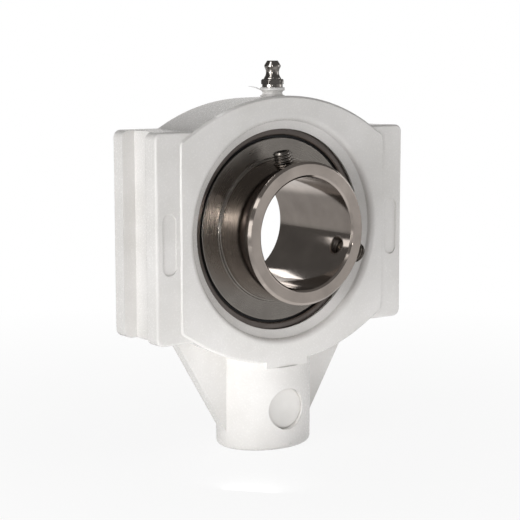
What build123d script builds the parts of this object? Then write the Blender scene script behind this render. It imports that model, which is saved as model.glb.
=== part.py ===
"""Take-up bearing unit: a moulded plastic housing that slides between two guide rails and carries a
self-aligning ball bearing with set screws. Millimetres. +X right, +Y to the rear, +Z up to the grease
nipple. The origin is the centre of the bearing, on the shaft's axis, which is Y."""

from build123d import *
from math import sqrt
import os

# --- Bearing insert (size 209) ---------------------------------------------------------------------
BORE_D = 45.0
RING_SECTION = 20.0  # bore to the outer ring's spherical outside, along a radius
SCREW_SIDE = 30.2  # bearing centre to the inner ring's front end
PLAIN_SIDE = 19.0  # bearing centre to its rear end
BALL_D = 12.7
BALL_COUNT = 10
RACE_FIT = 0.03  # gap between a ball and each raceway
RACE_FORM = 0.52  # raceway radius over ball diameter
RACE_DEPTH = 2.48  # how deep each raceway is sunk in its ring
INNER_END_CHAMFER = 1.0
BORE_CHAMFER = 0.8
OUTER_END_CHAMFER = 0.5
OIL_HOLE_D = 2.0

# --- Cage ------------------------------------------------------------------------------------------
CAGE_RADIAL = 4.6
CAGE_FRONT = 2.6  # pockets open this far in front of the balls' centres
CAGE_WALL = 0.95  # behind the balls
CAGE_FIT = 0.1
CLAW_GAP_D = 3.2

# --- Seals and flingers ----------------------------------------------------------------------------
SEAL_WIDTH = 1.3
SEAL_LEDGE = 1.8  # outer ring's land to the wider bore that leads to the seal
SEAL_GROOVE = 0.6  # from that bore to the bottom of the seal's groove
SEAL_FLANK = 1.0  # each slope of the seal's profile, along a radius
SEAL_LIP_GAP = 0.3
SEAL_LIP_LEAN = 0.5  # how far the lip leans off the disc
CAGE_SEAL_GAP = 0.6
FLINGER_SHEET = 0.8
FLINGER_COLLAR = 1.2  # how far the collar stands out past the disc
FLINGER_LIP = 0.2  # how far the rim is turned in
FLINGER_RIM_GAP = 1.0  # rim to the outer ring, along a radius
FLINGER_SEAL_GAP = 0.3
FLINGER_RECESS = 0.4  # how far the disc lies inside the outer ring's end

# --- Set screws ------------------------------------------------------------------------------------
SET_SCREW_D = 8.0
SET_SCREW_LENGTH = 10.0
SET_SCREW_INSET = 8.5  # from the inner ring's front end
SET_SCREW_ANGLES = (-11.6, 108.4)  # clockwise from the nipple, seen from the front
SET_SCREW_RISES = (0.5, 2.9)  # how far each tip stands back from the bore when it is backed out
SET_SCREW_FIT = 0.05
SET_SCREW_CHAMFER = 0.6
SET_SCREW_SOCKET = 4.0  # across flats
SET_SCREW_SOCKET_DEPTH = 4.0
SET_SCREW_CUP_D = 5.0

# --- Housing ---------------------------------------------------------------------------------------
SEAT_FIT = 0.05
SEAT_MARGIN = 1.25  # how far the spherical seat reaches past the outer ring's end
MOUTH_MARGIN = 1.7  # how far the mouth stands off the outer ring's largest radius
MOUTH_ROUND = 2.4
REAR_MOUTH_CUT = 0.8
CROWN_WALL = 9.8  # mouth to the crown
CROWN_RADIUS = 82.0
CROWN_DROP = 1.5  # how much lower the crown is at the rear
FLAT_WALL = 6.5  # mouth to each side flat
CORNER_CUT = 7.6  # how far each cut corner, which runs on from the crown's arc, reaches in from a flat
CORNER_ROUND = 2.5
REAR_RIM = 1.7  # flat left between the rear mouth and the barrel's rounded rear edge
FACE_STEP = 0.8  # how far the barrel's face stands proud of the wings
WING_REACH = 10.7  # how far a wing stands out past the barrel's side flat
WING_HEIGHT = 82.0
WING_THICKNESS = 31.6
WING_CORNER = 3.0
WING_EDGE = 1.0
GUIDE_WIDTH = 17.0
GUIDE_DEPTH = 5.5
BADGE_LENGTH = 23.6
BADGE_WIDTH = 6.0
BADGE_DEPTH = 0.5
BADGE_INSET = 5.9  # wing's end to the badge's middle
BADGE_DROP = 1.9
GREASE_OFFSET = 6.5  # the nipple and grease way are this far in front of the centre
GREASE_WAY_D = 3.0
GREASE_GROOVE_WIDTH = 3.6
GREASE_GROOVE_DEPTH = 1.4

# --- Nose ------------------------------------------------------------------------------------------
NOSE_LENGTH = 36.0  # below the level of the barrel's lowest line
NOSE_WIDTH = 41.4
NOSE_DEPTH = 34.6
NOSE_ROUND = 2.0
CHIN_WIDTH = 20.6
CHIN_STEP = 1.6  # how far the chin reaches below the barrel
WEB_THICKNESS = 5.0
WEB_HEAD_INSET = 15.3  # wing's end to where the web leaves the wing
WEB_FOOT_SINK = 1.4  # how far the web's lower corner is sunk in the nose
WEB_FOOT_RISE = 5.0  # nose's end to that corner
CROSS_HOLE_D = 17.0
CROSS_HOLE_RISE = 16.7  # nose's end to the cross hole's axis
CROSS_NUT_FIT = 0.06
CROSS_NUT_RECESS = 2.3
CROSS_NUT_CHAMFER = 0.4
SCREW_HOLE_D = 13.0  # clearance for the adjusting screw
SCREW_HOLE_PAST = 5.7  # how far this hole goes on above the cross hole
SCREW_THREAD_D = 10.2  # wall of the nut's M12 thread

# --- Grease nipple and the boss that carries it ----------------------------------------------------
BOSS_RISE = 3.2  # crown to the boss's flat top
BOSS_D = 10.0
BOSS_RIM = 1.1
BOSS_EDGE = 0.3
BOSS_NECK_D = 8.0
BOSS_NECK_RISE = 0.9  # crown to the neck's narrowest place
NIPPLE_THREAD_D = 6.0
NIPPLE_THREAD_LENGTH = 5.4
NIPPLE_THREAD_CHAMFER = 0.4
NIPPLE_COLLAR_D = 8.4
NIPPLE_COLLAR = 1.3
NIPPLE_HEX = 8.0  # across flats
NIPPLE_HEX_HEIGHT = 2.0
NIPPLE_FLARE_D = 7.0
NIPPLE_FLARE = 0.4  # heights of the turned part above the hexagon, from here up to the tip
NIPPLE_WAIST_D = 5.3
NIPPLE_WAIST = 4.4
NIPPLE_HEAD_D = 6.7
NIPPLE_HEAD = 0.6
NIPPLE_TIP_D = 4.4
NIPPLE_TIP = 1.9
NIPPLE_BORE_D = 3.4
NIPPLE_MOUTH_D = 2.0
NIPPLE_LIP = 0.5
NIPPLE_FOOT_BORE_D = 2.0
NIPPLE_LEDGE = 1.0  # foot to the ledge that carries the spring
CHECK_BALL_FIT = 0.3
CHECK_SEAT_GAP = 0.02
SPRING_WIRE_D = 0.4
SPRING_FIT = 0.15
SPRING_TURNS = 5

# --- Worked out ------------------------------------------------------------------------------------
PITCH_D = BORE_D + RING_SECTION
OUTER_D = BORE_D + 2 * RING_SECTION
BALL_R = BALL_D / 2
RACE_R = RACE_FORM * BALL_D
OUTER_RACE_BOTTOM = PITCH_D / 2 + BALL_R + RACE_FIT
INNER_RACE_BOTTOM = PITCH_D / 2 - BALL_R - RACE_FIT
OUTER_LAND = OUTER_RACE_BOTTOM - RACE_DEPTH
INNER_R = INNER_RACE_BOTTOM + RACE_DEPTH
SEAL_SEAT = OUTER_LAND + SEAL_LEDGE
SEAL_BOTTOM = SEAL_SEAT + SEAL_GROOVE
CAGE_BACK = BALL_R + CAGE_FIT + CAGE_WALL
SEAL_START = CAGE_BACK + CAGE_SEAL_GAP  # centre to the seal's inner side
SEAL_END = SEAL_START + SEAL_WIDTH
FLINGER_FACE = SEAL_END + FLINGER_SEAL_GAP + FLINGER_LIP + FLINGER_SHEET
OUTER_HALF = FLINGER_FACE + FLINGER_RECESS
SET_SCREW_Y = -(SCREW_SIDE - SET_SCREW_INSET)
SEAT_REACH = OUTER_HALF + SEAT_MARGIN
MOUTH_R = OUTER_D / 2 + MOUTH_MARGIN
CROWN_TOP = MOUTH_R + CROWN_WALL
FLAT_X = MOUTH_R + FLAT_WALL
WING_X = FLAT_X + WING_REACH
REAR_ROUND = FLAT_WALL - REAR_MOUTH_CUT - REAR_RIM
FACE_FRONT = WING_THICKNESS / 2 + FACE_STEP
NOSE_END = CROWN_TOP + NOSE_LENGTH
CROSS_HOLE_DROP = NOSE_END - CROSS_HOLE_RISE
SCREW_HOLE_END = CROSS_HOLE_DROP - CROSS_HOLE_D / 2 - SCREW_HOLE_PAST
BOSS_TOP = CROWN_TOP + BOSS_RISE
NIPPLE_FOOT = BOSS_TOP - NIPPLE_THREAD_LENGTH
NIPPLE_LEDGE_Z = NIPPLE_FOOT + NIPPLE_LEDGE
COLLAR_TOP = BOSS_TOP + NIPPLE_COLLAR
HEX_TOP = COLLAR_TOP + NIPPLE_HEX_HEIGHT
FLARE_TOP = HEX_TOP + NIPPLE_FLARE
HEAD_START = FLARE_TOP + NIPPLE_WAIST
HEAD_END = HEAD_START + NIPPLE_HEAD
NIPPLE_TOP = HEAD_END + NIPPLE_TIP
NIPPLE_LIP_Z = NIPPLE_TOP - NIPPLE_LIP
CHECK_BALL_D = NIPPLE_BORE_D - 2 * CHECK_BALL_FIT
CHECK_BALL_Z = NIPPLE_LIP_Z - sqrt(CHECK_BALL_D**2 - NIPPLE_MOUTH_D**2) / 2 - CHECK_SEAT_GAP

SECTION = Plane.YZ  # half-sections are drawn here: first the distance along the shaft, then the radius
UPWARD = (Align.CENTER, Align.CENTER, Align.MIN)  # a piece that stands on its own origin


def spun(*edges):
    """Solid of revolution about the shaft's axis from lines and arcs through points (y, radius)."""
    return revolve(SECTION * make_face(edges), Axis.Y)


def turned(*outline):
    """Solid of revolution about the shaft's axis from points (y, radius)."""
    return spun(Polyline(*outline, close=True))


def spun_upright(*edges):
    """Solid of revolution about Z from lines and arcs through points (radius, z), at the nipple's place."""
    return Pos(0, -GREASE_OFFSET, 0) * revolve(Plane.XZ * make_face(edges), Axis.Z)


def turned_upright(*outline):
    """Solid of revolution about Z from points (radius, z), at the nipple's place."""
    return spun_upright(Polyline(*outline, close=True))


def raceway(bottom_radius, outward):
    """Ring-shaped cutter of the raceway whose deepest point lies at bottom_radius."""
    centre = bottom_radius - RACE_R if outward else bottom_radius + RACE_R
    return revolve(SECTION * Pos(0, centre) * Circle(RACE_R), Axis.Y)


def about_shaft(shape, clockwise):
    """Turns a shape about the shaft, clockwise as seen from the front."""
    return shape.rotate(Axis.Y, clockwise)


def mirror_y(shape):
    return mirror(shape, about=Plane.XZ)


def mirror_x(shape):
    return mirror(shape, about=Plane.YZ)


# --- Bearing insert --------------------------------------------------------------------------------
def outer_ring():
    """Spherical outside, a raceway, and beside it at each end a land, a seal groove and a seat."""
    half, sphere, cut = OUTER_HALF, OUTER_D / 2, OUTER_END_CHAMFER
    edge, seat = half - cut, SEAL_SEAT
    shoulder = sqrt(sphere**2 - edge**2)
    ring = spun(
        ThreePointArc((-edge, shoulder), (0, sphere), (edge, shoulder)),
        Polyline(
            (edge, shoulder), (half, shoulder - cut), (half, seat + cut), (edge, seat), (SEAL_END, seat),
            (SEAL_END, SEAL_BOTTOM), (SEAL_START, SEAL_BOTTOM), (SEAL_START, OUTER_LAND),
            (-SEAL_START, OUTER_LAND), (-SEAL_START, SEAL_BOTTOM), (-SEAL_END, SEAL_BOTTOM),
            (-SEAL_END, seat), (-edge, seat), (-half, seat + cut), (-half, shoulder - cut),
            (-edge, shoulder)))
    ring -= raceway(OUTER_RACE_BOTTOM, outward=True)
    hole = Pos(0, -GREASE_OFFSET, sphere) * Cylinder(OIL_HOLE_D / 2, sphere)
    for clockwise in (0, 180):
        ring -= about_shaft(hole, clockwise)
    return ring


def inner_ring():
    radius, bore, cut, lead = INNER_R, BORE_D / 2, INNER_END_CHAMFER, BORE_CHAMFER
    ring = turned(
        (-SCREW_SIDE, bore + lead), (-SCREW_SIDE, radius - cut), (-SCREW_SIDE + cut, radius),
        (PLAIN_SIDE - cut, radius), (PLAIN_SIDE, radius - cut), (PLAIN_SIDE, bore + lead),
        (PLAIN_SIDE - lead, bore), (-SCREW_SIDE + lead, bore))
    ring -= raceway(INNER_RACE_BOTTOM, outward=False)
    hole = Pos(0, SET_SCREW_Y, radius) * Cylinder(SET_SCREW_D / 2 + SET_SCREW_FIT, radius)
    for clockwise in SET_SCREW_ANGLES:
        ring -= about_shaft(hole, clockwise)
    return ring


def ball(index):
    return about_shaft(Pos(0, 0, PITCH_D / 2) * Sphere(BALL_R), index * 360 / BALL_COUNT)


def cage():
    """One-piece snap cage: a ring behind the balls with claws that reach forward between them."""
    low, high = (PITCH_D - CAGE_RADIAL) / 2, (PITCH_D + CAGE_RADIAL) / 2
    ring = turned((-CAGE_FRONT, low), (-CAGE_FRONT, high), (CAGE_BACK, high), (CAGE_BACK, low))
    pocket = Pos(0, 0, PITCH_D / 2) * Sphere(BALL_R + CAGE_FIT)
    for index in range(BALL_COUNT):
        ring -= about_shaft(pocket, index * 360 / BALL_COUNT)
    # The middle of each claw is scooped out, so that its two tips can flex apart.
    scoop = Pos(0, -CAGE_FRONT, PITCH_D / 2) * Cylinder(CLAW_GAP_D / 2, 2 * CAGE_RADIAL)
    for index in range(BALL_COUNT):
        ring -= about_shaft(scoop, (index + 0.5) * 360 / BALL_COUNT)
    return ring


def front_seal():
    """Rubber seal: a flat washer snapped into the outer ring, with a lip on the inner ring."""
    lip, land, flank, waist = INNER_R + SEAL_LIP_GAP, OUTER_LAND, SEAL_FLANK, SEAL_WIDTH / 3
    return turned(
        (-SEAL_START, SEAL_BOTTOM), (-SEAL_END, SEAL_BOTTOM), (-SEAL_END, land - flank),
        (-SEAL_END + waist, land - 2 * flank), (-SEAL_END + waist, lip + 2 * flank),
        (-SEAL_END, lip + flank), (-SEAL_END - SEAL_LIP_LEAN + waist, lip), (-SEAL_START - waist, lip),
        (-SEAL_START, lip + flank))


def front_flinger():
    """Pressed steel disc on the inner ring, with a rounded collar that stands out and a rim turned in."""
    hub, rim, sheet, bend = INNER_R, SEAL_SEAT - FLINGER_RIM_GAP, FLINGER_SHEET, FLINGER_SHEET / 2
    face, back = -FLINGER_FACE, -FLINGER_FACE + FLINGER_SHEET
    end, top = face - FLINGER_COLLAR, hub + sheet
    return spun(
        Line((end, hub), (end, top - bend)),
        TangentArc((end, top - bend), (end + bend, top), tangent=(0, 1)),
        Line((end + bend, top), (face - bend, top)),
        TangentArc((face - bend, top), (face, top + bend), tangent=(1, 0)),
        Line((face, top + bend), (face, rim - bend)),
        TangentArc((face, rim - bend), (face + bend, rim), tangent=(0, 1)),
        Polyline(
            (face + bend, rim), (back + FLINGER_LIP, rim), (back + FLINGER_LIP, rim - sheet),
            (back, rim - sheet - FLINGER_LIP), (back, hub), (end, hub)))


def set_screw(clockwise, rise):
    """Hexagon socket set screw with a cup point, backed out of the bore."""
    screw = Cylinder(SET_SCREW_D / 2, SET_SCREW_LENGTH, align=UPWARD)
    screw = chamfer(screw.edges().filter_by(GeomType.CIRCLE), SET_SCREW_CHAMFER)
    socket = extrude(RegularPolygon(SET_SCREW_SOCKET / 2, 6, major_radius=False), SET_SCREW_SOCKET_DEPTH)
    screw -= Pos(0, 0, SET_SCREW_LENGTH - SET_SCREW_SOCKET_DEPTH) * socket
    screw -= Cone(SET_SCREW_CUP_D / 2, 0, SET_SCREW_CUP_D / 4, align=UPWARD)
    return about_shaft(Pos(0, SET_SCREW_Y, BORE_D / 2 + rise) * screw, clockwise)


# --- Housing ---------------------------------------------------------------------------------------
def seat_radius(y):
    return sqrt((OUTER_D / 2 + SEAT_FIT) ** 2 - y**2)


def seat_arc(start, end):
    places = (start, (start + end) / 2, end)
    return ThreePointArc(*[(y, seat_radius(y)) for y in places])


def barrel_outline(y, drop):
    """Face of the barrel at depth y: two shallow arcs, side flats and cut corners."""
    crest = CROWN_TOP - drop
    arc_x = FLAT_X - CORNER_CUT
    arc_height = sqrt(CROWN_RADIUS**2 - arc_x**2)
    arc_z = crest - CROWN_RADIUS + arc_height
    flat_z = arc_z - CORNER_CUT * arc_x / arc_height
    lines = [
        ThreePointArc((-arc_x, arc_z), (0, crest), (arc_x, arc_z)),
        Polyline((arc_x, arc_z), (FLAT_X, flat_z), (FLAT_X, -flat_z), (arc_x, -arc_z)),
        ThreePointArc((arc_x, -arc_z), (0, -crest), (-arc_x, -arc_z)),
        Polyline((-arc_x, -arc_z), (-FLAT_X, -flat_z), (-FLAT_X, flat_z), (-arc_x, arc_z)),
    ]
    face = make_face(lines)
    corners = face.vertices().group_by(Axis.X)
    face = fillet(corners[0] + corners[-1], CORNER_ROUND)
    return Plane((0, y, 0), x_dir=(1, 0, 0), z_dir=(0, -1, 0)) * face


def barrel():
    body = loft([barrel_outline(-FACE_FRONT, 0), barrel_outline(FACE_FRONT, CROWN_DROP)], ruled=True)
    rear = body.faces().sort_by(Axis.Y)[-1]
    body = fillet(rear.edges(), REAR_ROUND)
    front = body.faces().sort_by(Axis.Y)[0]
    return chamfer(front.edges(), FACE_STEP)


def wings():
    """Block across the barrel with a guide groove down each end."""
    block = Box(2 * WING_X, WING_THICKNESS, WING_HEIGHT)
    block = fillet(block.edges().filter_by(Axis.Y), WING_CORNER)
    ends = block.faces().filter_by(Axis.Y)
    block = fillet([edge for end in ends for edge in end.edges()], WING_EDGE)
    groove = Pos(WING_X, 0, 0) * Box(2 * GUIDE_DEPTH, GUIDE_WIDTH, 2 * WING_HEIGHT)
    return block - groove - mirror_x(groove)


def nose():
    """Oval column, planed flush with the barrel's ends down to the chin, with a web to each side."""
    root = CROWN_TOP - CROWN_WALL / 2
    column = Pos(0, 0, -NOSE_END) * extrude(Ellipse(NOSE_WIDTH / 2, NOSE_DEPTH / 2), NOSE_END - root)
    column = fillet(column.edges().sort_by(Axis.Z)[0], NOSE_ROUND)
    chin_height = CROWN_TOP + CHIN_STEP - root
    planed = Pos(0, FACE_FRONT + NOSE_DEPTH / 2, -root - chin_height / 2) * Box(
        NOSE_WIDTH, NOSE_DEPTH, chin_height)
    column -= planed + mirror_y(planed)
    chin = Pos(0, -FACE_FRONT / 2, -root - chin_height / 2) * Box(CHIN_WIDTH, FACE_FRONT, chin_height)
    head_x, head_z = WING_X - WEB_HEAD_INSET, -WING_HEIGHT / 2 + WING_EDGE
    foot_x, foot_z = NOSE_WIDTH / 2 - WEB_FOOT_SINK, -NOSE_END + WEB_FOOT_RISE
    web = Plane.XZ * make_face(Polyline(
        (0, head_z), (head_x, head_z), (foot_x, foot_z), (0, foot_z), close=True))
    web = extrude(web, WEB_THICKNESS / 2, both=True)
    return column + chin + web + mirror_x(web)


def nipple_boss():
    """Mushroom-shaped boss that grows out of the crown with a waist."""
    radius, neck, edge = BOSS_D / 2, BOSS_NECK_D / 2, BOSS_EDGE
    foot, rim, waist = CROWN_TOP - neck, BOSS_TOP - BOSS_RIM, CROWN_TOP + BOSS_NECK_RISE
    skirt = neck + BOSS_NECK_RISE
    return spun_upright(
        Polyline((skirt, CROWN_TOP), (skirt, foot), (0, foot), (0, BOSS_TOP), (radius - edge, BOSS_TOP),
                 (radius, BOSS_TOP - edge), (radius, rim), (radius - edge, rim - edge)),
        ThreePointArc((radius - edge, rim - edge), (neck, waist), (skirt, CROWN_TOP)))


def seat_cutter():
    """Everything the bearing needs: the spherical seat, the two mouths and the grease groove."""
    mouth, face, rounding, cut = MOUTH_R, FACE_FRONT, MOUTH_ROUND, REAR_MOUTH_CUT
    groove_front = -GREASE_OFFSET - GREASE_GROOVE_WIDTH / 2
    groove_back = -GREASE_OFFSET + GREASE_GROOVE_WIDTH / 2
    groove_radius = seat_radius(groove_back) + GREASE_GROOVE_DEPTH
    return spun(
        Line((-face, 0), (-face, mouth + rounding)),
        TangentArc((-face, mouth + rounding), (-face + rounding, mouth), tangent=(0, -1)),
        Line((-face + rounding, mouth), (-SEAT_REACH, seat_radius(SEAT_REACH))),
        seat_arc(-SEAT_REACH, groove_front),
        Polyline((groove_front, seat_radius(groove_front)), (groove_front, groove_radius),
                 (groove_back, groove_radius), (groove_back, seat_radius(groove_back))),
        seat_arc(groove_back, SEAT_REACH),
        Polyline((SEAT_REACH, seat_radius(SEAT_REACH)), (face - cut / 2, mouth), (face, mouth + cut),
                 (face, 0), (-face, 0)))


def badge():
    """Shallow round-ended recess on a wing's face."""
    middle = (WING_X - BADGE_INSET, -WING_THICKNESS / 2, -BADGE_DROP)
    outline = Plane(middle, x_dir=(0, 0, 1), z_dir=(0, -1, 0))
    return extrude(outline * SlotOverall(BADGE_LENGTH, BADGE_WIDTH), -BADGE_DEPTH)


def housing():
    """One moulding: barrel, wings, nose and boss, with all its seats and holes."""
    body = barrel() + wings() + nose() + nipple_boss()
    body -= seat_cutter()
    body -= badge() + mirror_x(badge())
    body -= Pos(0, 0, -CROSS_HOLE_DROP) * Rot(90, 0, 0) * Cylinder(CROSS_HOLE_D / 2, 2 * NOSE_DEPTH)
    body -= Pos(0, 0, -NOSE_END) * Cylinder(SCREW_HOLE_D / 2, NOSE_END - SCREW_HOLE_END, align=UPWARD)
    body -= Pos(0, -GREASE_OFFSET, 0) * Cylinder(GREASE_WAY_D / 2, NIPPLE_FOOT, align=UPWARD)
    return body - Pos(0, -GREASE_OFFSET, NIPPLE_FOOT) * Cylinder(
        NIPPLE_THREAD_D / 2, NIPPLE_THREAD_LENGTH, align=UPWARD)


def cross_nut():
    """Round nut across the nose, threaded for the adjusting screw."""
    nut = Cylinder(CROSS_HOLE_D / 2 - CROSS_NUT_FIT, NOSE_DEPTH - 2 * CROSS_NUT_RECESS)
    nut = chamfer(nut.edges().filter_by(GeomType.CIRCLE), CROSS_NUT_CHAMFER)
    nut = Rot(90, 0, 0) * nut
    nut -= Cylinder(SCREW_THREAD_D / 2, 2 * CROSS_HOLE_D)
    return Pos(0, 0, -CROSS_HOLE_DROP) * nut


# --- Grease nipple ---------------------------------------------------------------------------------
def grease_nipple():
    """Threaded shank, collar, hexagon and button head, bored for the check ball and its spring."""
    shank, collar, cut = NIPPLE_THREAD_D / 2, NIPPLE_COLLAR_D / 2, NIPPLE_THREAD_CHAMFER
    body = turned_upright(
        (0, NIPPLE_FOOT), (shank - cut, NIPPLE_FOOT), (shank, NIPPLE_FOOT + cut), (shank, BOSS_TOP),
        (collar, BOSS_TOP), (collar, COLLAR_TOP), (0, COLLAR_TOP))
    hexagon = extrude(RegularPolygon(NIPPLE_HEX / 2, 6, major_radius=False), NIPPLE_HEX_HEIGHT)
    flat, corner = NIPPLE_HEX / 2, NIPPLE_HEX / sqrt(3)
    chamfered = turned_upright(
        (0, COLLAR_TOP), (corner, COLLAR_TOP), (corner, HEX_TOP - (corner - flat)), (flat, HEX_TOP),
        (0, HEX_TOP))
    body += Pos(0, -GREASE_OFFSET, COLLAR_TOP) * hexagon & chamfered
    tip, head, waist, flare = NIPPLE_TIP_D / 2, NIPPLE_HEAD_D / 2, NIPPLE_WAIST_D / 2, NIPPLE_FLARE_D / 2
    body += spun_upright(
        Polyline((0, COLLAR_TOP), (flare, COLLAR_TOP), (flare, FLARE_TOP)),
        ThreePointArc((flare, FLARE_TOP), (waist, (FLARE_TOP + HEAD_START) / 2), (head, HEAD_START)),
        Polyline((head, HEAD_START), (head, HEAD_END), (tip, NIPPLE_TOP), (0, NIPPLE_TOP), (0, COLLAR_TOP)))
    bore, mouth, foot = NIPPLE_BORE_D / 2, NIPPLE_MOUTH_D / 2, NIPPLE_FOOT_BORE_D / 2
    return body - turned_upright(
        (0, NIPPLE_FOOT), (foot, NIPPLE_FOOT), (foot, NIPPLE_LEDGE_Z), (bore, NIPPLE_LEDGE_Z),
        (bore, NIPPLE_LIP_Z), (mouth, NIPPLE_LIP_Z), (mouth, NIPPLE_TOP), (0, NIPPLE_TOP))


def check_ball():
    return Pos(0, -GREASE_OFFSET, CHECK_BALL_Z) * Sphere(CHECK_BALL_D / 2)


def check_spring():
    """Coil spring from the ledge at the nipple's foot to the check ball."""
    wire = SPRING_WIRE_D / 2
    coil = NIPPLE_BORE_D / 2 - wire - SPRING_FIT
    ball_touch = CHECK_BALL_Z - sqrt((CHECK_BALL_D / 2 + wire) ** 2 - coil**2)
    low, high = NIPPLE_LEDGE_Z + wire, ball_touch
    path = Helix(pitch=(high - low) / SPRING_TURNS, height=high - low, radius=coil)
    start = Plane(origin=path @ 0, z_dir=path % 0)
    return Pos(0, -GREASE_OFFSET, low) * sweep(start * Circle(wire), path)


# --- Output ----------------------------------------------------------------------------------------
def write(name, shape):
    export_step(shape, os.path.join("parts", name + ".step"))


os.makedirs("parts", exist_ok=True)
write("housing", housing())
write("outer_ring", outer_ring())
write("inner_ring", inner_ring())
write("cage", cage())
for number in range(BALL_COUNT):
    write("ball_%02d" % (number + 1), ball(number))
write("seal_front", front_seal())
write("seal_rear", mirror_y(front_seal()))
write("flinger_front", front_flinger())
write("flinger_rear", mirror_y(front_flinger()))
for number, (angle, rise) in enumerate(zip(SET_SCREW_ANGLES, SET_SCREW_RISES)):
    write("set_screw_%d" % (number + 1), set_screw(angle, rise))
write("cross_nut", cross_nut())
write("grease_nipple", grease_nipple())
write("nipple_ball", check_ball())
write("nipple_spring", check_spring())
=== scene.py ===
"""Looks of a take-up bearing unit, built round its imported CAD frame.

A white moulded housing slides between two guide rails and carries a self-aligning ball bearing. The
frame's own solids are dressed here. The threaded set screws and their holes, the threaded cross nut,
the grease nipple and the small marks that moulding leaves on the housing are modelled here.

+X is right, +Y is to the rear and +Z is up, with the origin at the bearing's centre. The unit's lengths
are written in millimetres and turned into metres where they are used. The studio's are in metres, apart
from those that say otherwise.
"""

from __future__ import annotations

import logging
import math
from collections.abc import Callable, Iterator, Mapping, Sequence
from contextlib import contextmanager
from dataclasses import dataclass
from enum import Enum

import bmesh
import bpy
from mathutils import Matrix, Vector

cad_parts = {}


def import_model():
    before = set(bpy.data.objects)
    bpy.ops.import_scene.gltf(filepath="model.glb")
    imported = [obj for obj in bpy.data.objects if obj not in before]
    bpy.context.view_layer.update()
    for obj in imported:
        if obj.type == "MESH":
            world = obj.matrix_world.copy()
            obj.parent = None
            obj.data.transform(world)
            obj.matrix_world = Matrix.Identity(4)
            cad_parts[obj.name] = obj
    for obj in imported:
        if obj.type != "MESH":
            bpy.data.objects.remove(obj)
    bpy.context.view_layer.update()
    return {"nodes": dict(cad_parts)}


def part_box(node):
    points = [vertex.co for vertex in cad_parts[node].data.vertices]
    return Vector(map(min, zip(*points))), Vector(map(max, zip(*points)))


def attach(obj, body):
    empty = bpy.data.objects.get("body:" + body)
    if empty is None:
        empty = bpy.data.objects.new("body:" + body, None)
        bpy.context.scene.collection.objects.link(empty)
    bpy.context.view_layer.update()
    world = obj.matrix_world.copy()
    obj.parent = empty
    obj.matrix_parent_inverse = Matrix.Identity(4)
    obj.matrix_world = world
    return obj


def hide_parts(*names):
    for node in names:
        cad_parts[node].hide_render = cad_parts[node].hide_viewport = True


log = logging.getLogger("take_up_unit")

Point = tuple[float, float, float]
SAME = 1e-7  # metres; points closer than this are one


def mm(length: float) -> float:
    """Turns millimetres into metres."""
    return length / 1000.0


def mm_point(point: Point) -> Vector:
    """Turns a point in millimetres into metres."""
    return Vector([mm(value) for value in point])


def linear(hex_colour: str) -> tuple[float, float, float, float]:
    """Turns an sRGB hex colour into Blender's linear colour.

    Args:
        hex_colour: Six hex digits, red first.

    Returns:
        Linear red, green and blue, and an alpha of 1.
    """
    coded = [int(hex_colour[start:start + 2], 16) / 255.0 for start in (0, 2, 4)]
    red, green, blue = (
        value / 12.92 if value <= 0.04045 else ((value + 0.055) / 1.055) ** 2.4 for value in coded)
    return red, green, blue, 1.0


def add_node(
    tree: bpy.types.NodeTree,
    kind: str,
    inputs: Mapping[str | int, object] | None = None,
    **settings: object,
) -> bpy.types.Node:
    """Adds one node with its settings, values and links.

    Args:
        tree: The node tree that gets the node.
        kind: Blender's name for the node's type.
        inputs: A value, or the socket to link, for each named or numbered input.
        **settings: Properties of the node itself.

    Returns:
        The new node.
    """
    node = tree.nodes.new(kind)
    for name, value in settings.items():
        setattr(node, name, value)
    for socket, value in (inputs or {}).items():
        if isinstance(value, bpy.types.NodeSocket):
            tree.links.new(value, node.inputs[socket])
        else:
            node.inputs[socket].default_value = value
    return node


def blank_tree(owner: bpy.types.Material | bpy.types.World) -> bpy.types.NodeTree:
    """Gives a material or a world an empty node tree.

    Args:
        owner: The material or world.

    Returns:
        Its node tree.
    """
    owner.use_nodes = True
    owner.node_tree.nodes.clear()
    return owner.node_tree


class Axis(Enum):
    """The line that a turned surface was spun about."""

    SHAFT = "Y"
    UPRIGHT = "Z"


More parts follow.
